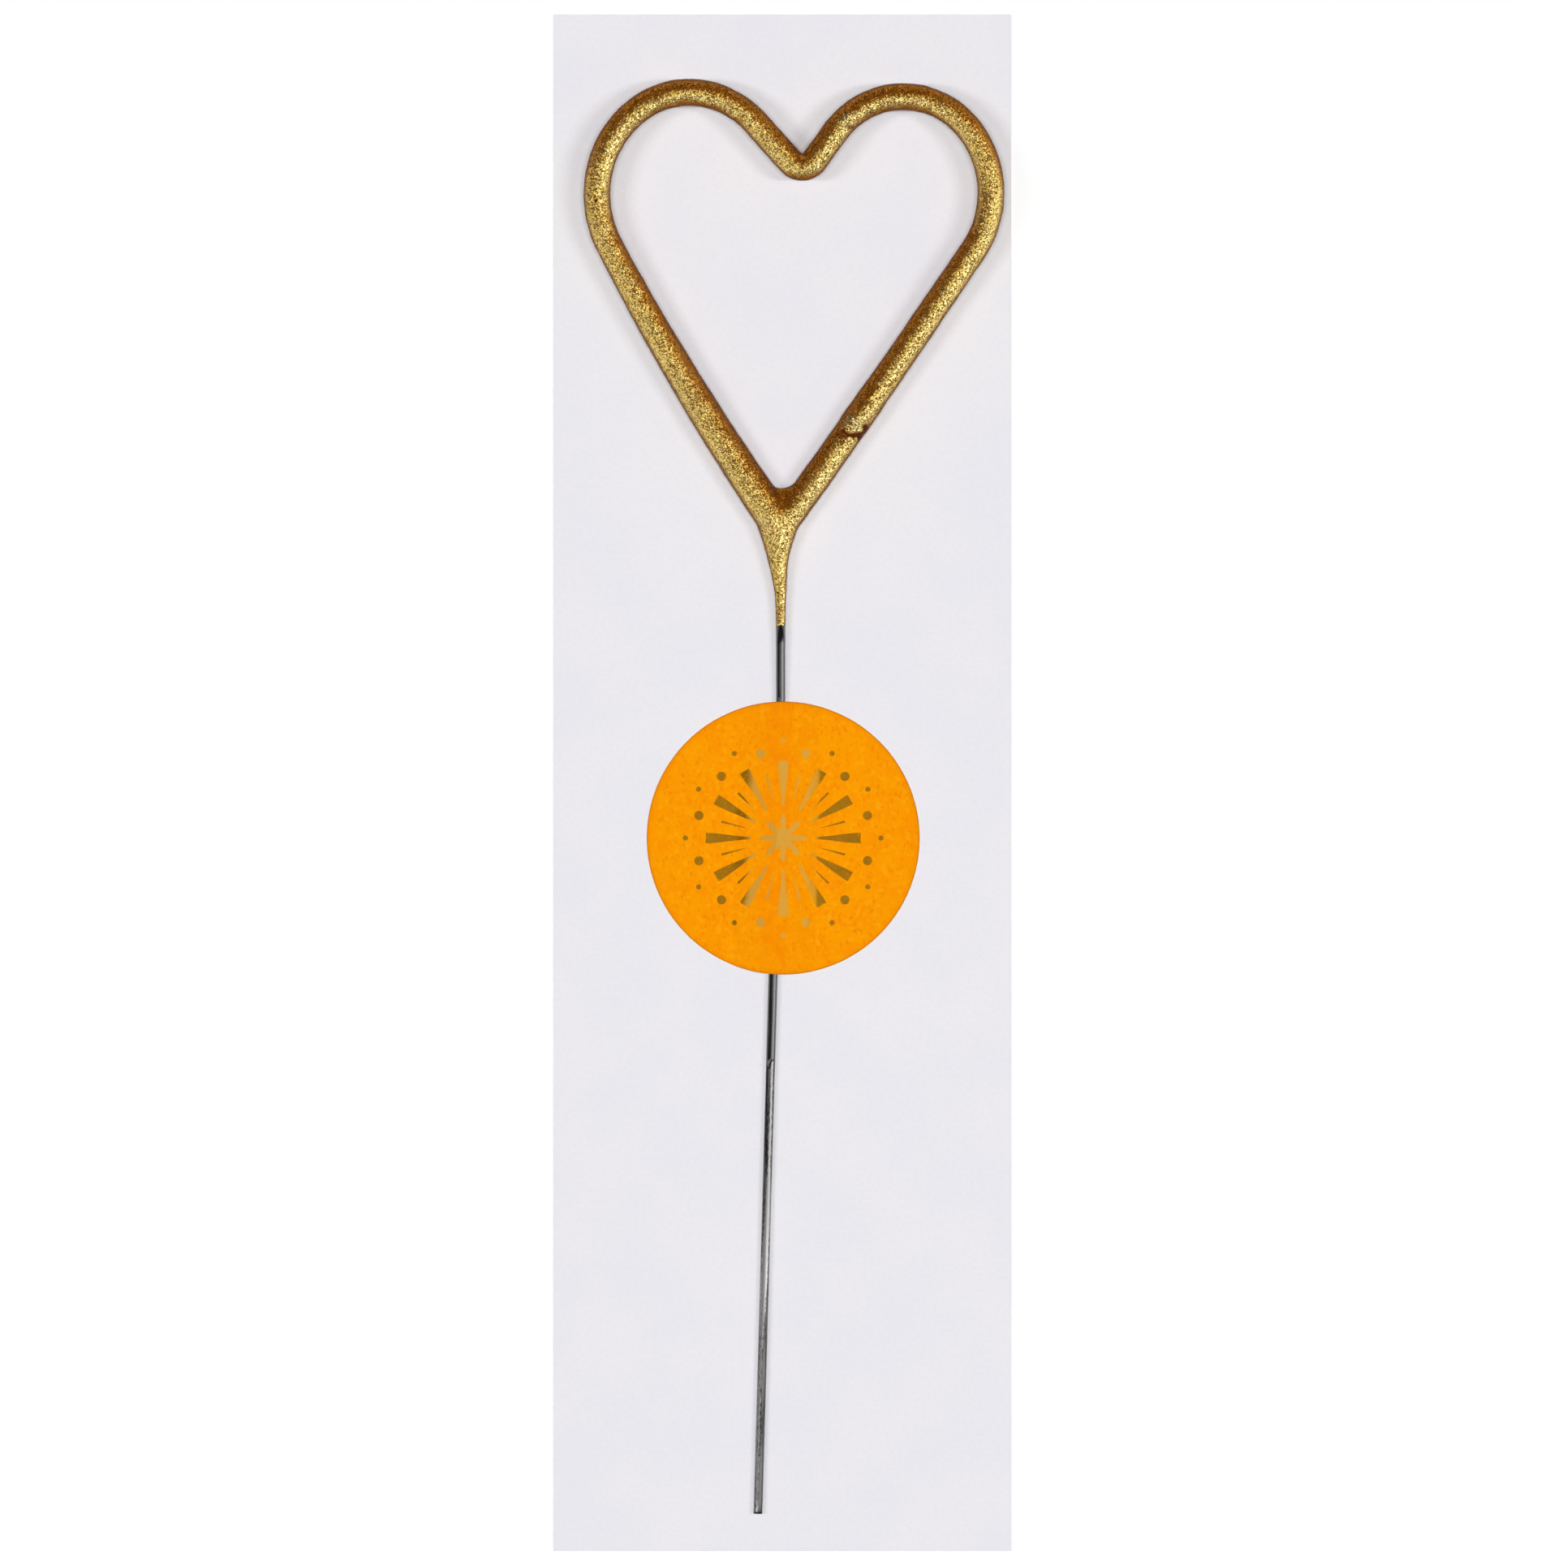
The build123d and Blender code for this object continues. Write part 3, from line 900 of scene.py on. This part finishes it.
def paperFinish():
    finish = Finish("orangePaper")
    spot = finish.parts(finish.vector("SUBTRACT", finish.place(), tuple(labelMiddle)))
    x, y = spot[0] / mm, spot[1] / mm
    across = stemPlace(finish)[0]

    # paper: clouds, fibres, painted shade as a redder band along the tent's top over the wire, and painted shade
    # on the rim and cut edge
    cloud = finish.noise(label["cloudSize"] * mm, detail=4)
    deep = finish.between(cloud, label["cloudLow"], label["cloudHigh"], 0.0, label["cloudShare"])
    colour = finish.mix(deep, label["orange"], label["deepOrange"])
    pale = finish.noise(label["paleSize"] * mm, detail=3)
    pale = finish.between(pale, label["paleLow"], label["paleHigh"], 0.0, label["paleShare"])
    colour = finish.mix(pale, colour, label["pale"])
    fibrePlace = finish.stretched((1, label["fibreRun"], 1), label["fibreTurn"])
    fibre = finish.noise(label["fibreSize"] * mm, detail=4, where=fibrePlace)
    fibreShare = finish.between(fibre, label["fibreLow"], label["fibreHigh"], 0.0, label["fibreShare"])
    colour = finish.mix(fibreShare, colour, label["fibre"])
    wander = across + label["ridgeShadeWander"] * (fibre - 0.5)
    # painted shade: redder along the top of the tent
    ridgeShade = finish.between(across, label["ridgeShadeLeft"], label["ridgeShadeFull"])
    ridgeShade = ridgeShade * finish.between(wander, label["ridgeShadeRight"], label["ridgeShadeFade"])
    ridgeShade = ridgeShade * finish.between(
        cloud, label["cloudLow"], label["ridgeShadeHigh"], label["ridgeShadeThin"], label["ridgeShadeShare"])
    colour = finish.mix(ridgeShade, colour, label["deepOrange"])
    # painted shade: the rim and the cut edge are darker
    outside = (x ** 2.0 + y ** 2.0) ** 0.5 - labelRadius / mm
    rim = finish.between(outside, label["rimShadeFrom"], label["rimShadeTo"], 0.0, label["rimShadeShare"])
    colour = finish.mix(rim, colour, label["rim"])
    cut = finish.between(outside, label["edgeShadeFrom"], label["edgeShadeTo"], 0.0, label["edgeShadeShare"])
    colour = finish.mix(cut, colour, label["edgeShadeColour"])

    # foil, stamped a little thin on the fibres, with a painted highlight that makes it pale and matt where the
    # paper stands up over the stem
    worn = finish.noise(foil["wornSize"] * mm)
    worn = finish.between(worn, foil["wornLow"], foil["wornHigh"], foil["wornShare"], 1.0)
    mask = foilMask(finish, x, y) * worn
    tentHighlight = abs(across - foil["tentHighlightAt"]) + foil["tentHighlightWander"] * (cloud - 0.5)
    tentHighlight = finish.between(tentHighlight, foil["tentHighlightFrom"], foil["tentHighlightTo"])
    foilColour = finish.mix(finish.noise(foil["cloudSize"] * mm), foil["dark"], foil["pale"])
    colour = finish.mix(mask, colour, finish.mix(tentHighlight, foilColour, foil["tentHighlight"]))
    tooth = 0.5 * finish.noise(label["toothSize"] * mm, detail=3) + 0.5 * fibre
    finish.close(finish.shader(
        Base_Color=colour,
        Metallic=mask * (foil["metallic"] - foil["tentHighlightMetallic"] * tentHighlight),
        Roughness=label["roughness"] - mask * (foil["gloss"] - foil["tentHighlightGloss"] * tentHighlight),
        Specular_IOR_Level=label["sheen"],
        Normal=finish.bump(tooth, label["tooth"] * mm, label["toothStrength"]),
    ))
    return finish


labelPaper = makeLabel()
dress(labelPaper, paperFinish(), "card_pack", "label_face")
print("label:", len(labelPaper.data.polygons), "faces")


# Backing card with soft cut edges

card = {
    "cornerRound": 0.25, "cornerSteps": 4, "edgeRound": 0.07, "edgeSteps": 3,
    "cool": shade(234, 233, 239), "warm": shade(237, 235, 239),
    "cloudSize": 14.0, "cloudLow": 0.35, "cloudHigh": 0.65,
    "grain": shade(226, 224, 228), "grainSize": 0.6,
    "grainLow": 0.3, "grainHigh": 0.7, "grainShare": 0.25,
    "speck": shade(190, 188, 196), "speckCell": 9.0,
    "speckEdge": 0.022, "speckCore": 0.012, "speckShare": 0.5,
    "roughness": 0.6, "roughnessSpread": 0.15, "tooth": 0.01, "toothStrength": 0.3,
}


def makeCard():
    low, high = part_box("backing_card")
    work = bmesh.new()
    bmesh.ops.create_cube(work, size=1.0)
    bmesh.ops.scale(work, vec=high - low, verts=work.verts)
    bmesh.ops.translate(work, vec=(low + high) / 2, verts=work.verts)

    def level(edge):
        return abs((edge.verts[0].co - edge.verts[1].co).normalized().z) < 0.5

    def soften(edges, offset, steps):
        bmesh.ops.bevel(
            work, geom=edges, offset=offset * mm, segments=steps, profile=0.5, affect="EDGES")

    soften([edge for edge in work.edges if not level(edge)], card["cornerRound"], card["cornerSteps"])
    soften([edge for edge in work.edges if level(edge)], card["edgeRound"], card["edgeSteps"])
    mesh = bpy.data.meshes.new("cardBoard")
    work.to_mesh(mesh)
    work.free()
    mesh.polygons.foreach_set("use_smooth", [True] * len(mesh.polygons))
    piece = bpy.data.objects.new("cardBoard", mesh)
    bpy.context.scene.collection.objects.link(piece)
    return piece


def boardFinish():
    finish = Finish("paleBoard")
    cloud = finish.noise(card["cloudSize"] * mm, detail=3)
    warm = finish.between(cloud, card["cloudLow"], card["cloudHigh"])
    colour = finish.mix(warm, card["cool"], card["warm"])
    grain = finish.noise(card["grainSize"] * mm, detail=4)
    grainShare = finish.between(grain, card["grainLow"], card["grainHigh"], 0.0, card["grainShare"])
    colour = finish.mix(grainShare, colour, card["grain"])
    speck = finish.flakes(card["speckCell"] * mm, "Distance")
    speck = finish.between(speck, card["speckEdge"], card["speckCore"], 0.0, card["speckShare"])
    colour = finish.mix(speck, colour, card["speck"])
    finish.close(finish.shader(
        Base_Color=colour,
        Roughness=card["roughness"] + card["roughnessSpread"] * grain,
        Normal=finish.bump(grain, card["tooth"] * mm, card["toothStrength"]),
    ))
    return finish


cardBoard = makeCard()
dress(cardBoard, boardFinish(), "card_pack", "backing_card")


# Spark mix: the grey core inside the gold skin

sparkMix = {
    "skin": 0.45, "end": 6.0, "grain": 0.35, "lump": 0.05, "lumpSize": 0.7,
    "grey": shade(92, 90, 88), "paleGrey": shade(140, 138, 134), "greySize": 0.3,
    "fleck": shade(196, 194, 188), "fleckSize": 0.2, "fleckLow": 0.85, "fleckHigh": 0.95,
    "roughness": 0.8, "fleckGloss": 0.3, "bump": 0.08, "bumpStrength": 0.6,
}


def makeMix():
    shells = coatShells(sparkMix["skin"], sparkMix["end"])
    piece = growTogether("mixCore", shells, sparkMix["grain"])
    normals = [vertex.normal.copy() for vertex in piece.data.vertices]
    for vertex, normal in zip(piece.data.vertices, normals):
        lump = noise.noise(vertex.co / mm / sparkMix["lumpSize"])
        vertex.co += normal * sparkMix["lump"] * lump * mm
    piece.data.update()
    return piece


def mixFinish():
    finish = Finish("greySparkMix")
    grain = finish.noise(sparkMix["greySize"] * mm, detail=4)
    fleck = finish.parts(finish.flakes(sparkMix["fleckSize"] * mm))[0]
    colour = finish.mix(grain, sparkMix["grey"], sparkMix["paleGrey"])
    fleckShare = finish.between(fleck, sparkMix["fleckLow"], sparkMix["fleckHigh"])
    colour = finish.mix(fleckShare, colour, sparkMix["fleck"])
    finish.close(finish.shader(
        Base_Color=colour,
        Roughness=sparkMix["roughness"] - sparkMix["fleckGloss"] * fleck,
        Normal=finish.bump(grain, sparkMix["bump"] * mm, sparkMix["bumpStrength"]),
    ))
    return finish


mixCore = makeMix()
dress(mixCore, mixFinish(), "sparkler", "sparkler_mix")


# Gum keeps its solids

gum = {
    "deep": shade(226, 214, 178), "pale": shade(240, 230, 204), "cloudSize": 1.2,
    "roughness": 0.25, "roughnessSpread": 0.2,
}


def gumFinish():
    finish = Finish("clearGum")
    cloud = finish.noise(gum["cloudSize"] * mm, detail=3)
    finish.close(finish.shader(
        Base_Color=finish.mix(cloud, gum["deep"], gum["pale"]),
        Roughness=gum["roughness"] + gum["roughnessSpread"] * cloud,
    ))
    return finish


dress(frame["nodes"]["label_gum"], gumFinish())
print("card, gum and mix dressed")


# Floor, low wall, lamps and world

studio = {
    "wallRadius": 6.0, "wallHeight": 0.5, "wallTurn": 5, "floorDrop": 0.2,
    "floorRoughness": 0.9, "white": 0.72,
    "lampDistance": 6.0,
    "lamps": {
        "topLamp": {"toward": (0.0, 0.0, 1.0), "size": (1.4, 0.3), "power": 200.0},
        "leftLamp": {"toward": (-0.42, 0.0, 0.89), "size": (1.8, 0.3), "power": 80.0},
        "rightLamp": {"toward": (0.42, 0.0, 0.89), "size": (1.8, 0.3), "power": 80.0},
    },
    "plainSky": 0.06, "frontSky": 1.4, "backSky": 0.06, "lowSky": 0.06,
    "sideShare": 0.25, "frontFrom": -0.1, "frontFull": 0.36, "lowFrom": 0.52, "lowFull": 0.85,
    "spots": [
        {"toward": (0.42, -0.05, 0.91), "outer": 0.975, "inner": 0.995, "strength": 1.8},
        {"toward": (0.83, 0.0, 0.56), "outer": 0.93, "inner": 0.985, "strength": 2.2},
    ],
}


def floorFinish():
    finish = Finish("whiteFloor")
    path = finish.node("ShaderNodeLightPath", {}, {})
    outputs = path.socket.node.outputs
    seen = Value(finish, outputs["Is Camera Ray"])
    for name in ("Is Glossy Ray", "Is Transmission Ray"):
        seen = finish.larger(seen, Value(finish, outputs[name]))
    plain = finish.shader(Base_Color=(1, 1, 1, 1), Roughness=studio["floorRoughness"])
    white = finish.node("ShaderNodeEmission", {}, {"Color": (1, 1, 1, 1), "Strength": 1.0})
    sockets = {0: seen * studio["white"], 1: plain, 2: white}
    finish.close(finish.node("ShaderNodeMixShader", {}, sockets))
    return finish


def makeFloor():
    reach, drop = studio["wallRadius"], -studio["floorDrop"] * mm
    turns = [radians(turn) for turn in range(0, 360, studio["wallTurn"])]
    rim = [Vector((cos(turn) * reach, sin(turn) * reach, drop)) for turn in turns]
    top = [spot + Vector((0, 0, studio["wallHeight"])) for spot in rim]
    count = len(rim)
    faces = [tuple(range(count))]
    for spot in range(count):
        after = (spot + 1) % count
        faces.append((spot, after, after + count, spot + count))
    floor = makePiece("studioFloor", [(rim + top, faces)])
    floor.data.polygons.foreach_set("use_smooth", [False] * len(floor.data.polygons))
    floor.data.materials.append(floorFinish().material)


def makeLamp(name, lamp):
    light = bpy.data.lights.new(name, "AREA")
    light.shape = "RECTANGLE"
    light.size, light.size_y = lamp["size"]
    light.energy = lamp["power"]
    shown = bpy.data.objects.new(name, light)
    toward = Vector(lamp["toward"]).normalized()
    shown.location = toward * studio["lampDistance"]
    across = Vector((0, 1, 0)).cross(toward).normalized()
    facing = Matrix((across, toward.cross(across), toward)).transposed()
    shown.rotation_mode = "QUATERNION"
    shown.rotation_quaternion = facing.to_quaternion()
    shown.visible_camera = False
    shown.visible_glossy = False
    bpy.context.scene.collection.objects.link(shown)


def makeSky():
    # even as light; in reflections bright in front, dim behind and low down,
    # with two soft lamps on the right
    sky = bpy.data.worlds.new("studioSky")
    bpy.context.scene.world = sky
    finish = Finish(sky)
    toward = finish.node("ShaderNodeTexCoord", {}, {}, "Generated")
    side, ahead = finish.parts(toward)[:2]
    front = studio["sideShare"] * side - ahead
    shown = finish.between(
        front, studio["frontFrom"], studio["frontFull"], studio["backSky"], studio["frontSky"])
    shown = shown * finish.between(front, studio["lowFrom"], studio["lowFull"], 1.0, studio["lowSky"])
    for spot in studio["spots"]:
        middle = tuple(Vector(spot["toward"]).normalized())
        near = finish.vector("DOT_PRODUCT", toward, middle, "Value")
        shown = shown + finish.between(near, spot["outer"], spot["inner"], 0.0, spot["strength"])
    glossy = finish.node("ShaderNodeLightPath", {}, {}, "Is Glossy Ray")
    strength = studio["plainSky"] + glossy * (shown - studio["plainSky"])
    sockets = {"Color": (1, 1, 1, 1), "Strength": strength}
    finish.close(finish.node("ShaderNodeBackground", {}, sockets))


makeFloor()
for lampName, lampSet in studio["lamps"].items():
    makeLamp(lampName, lampSet)
makeSky()
print("studio lit")
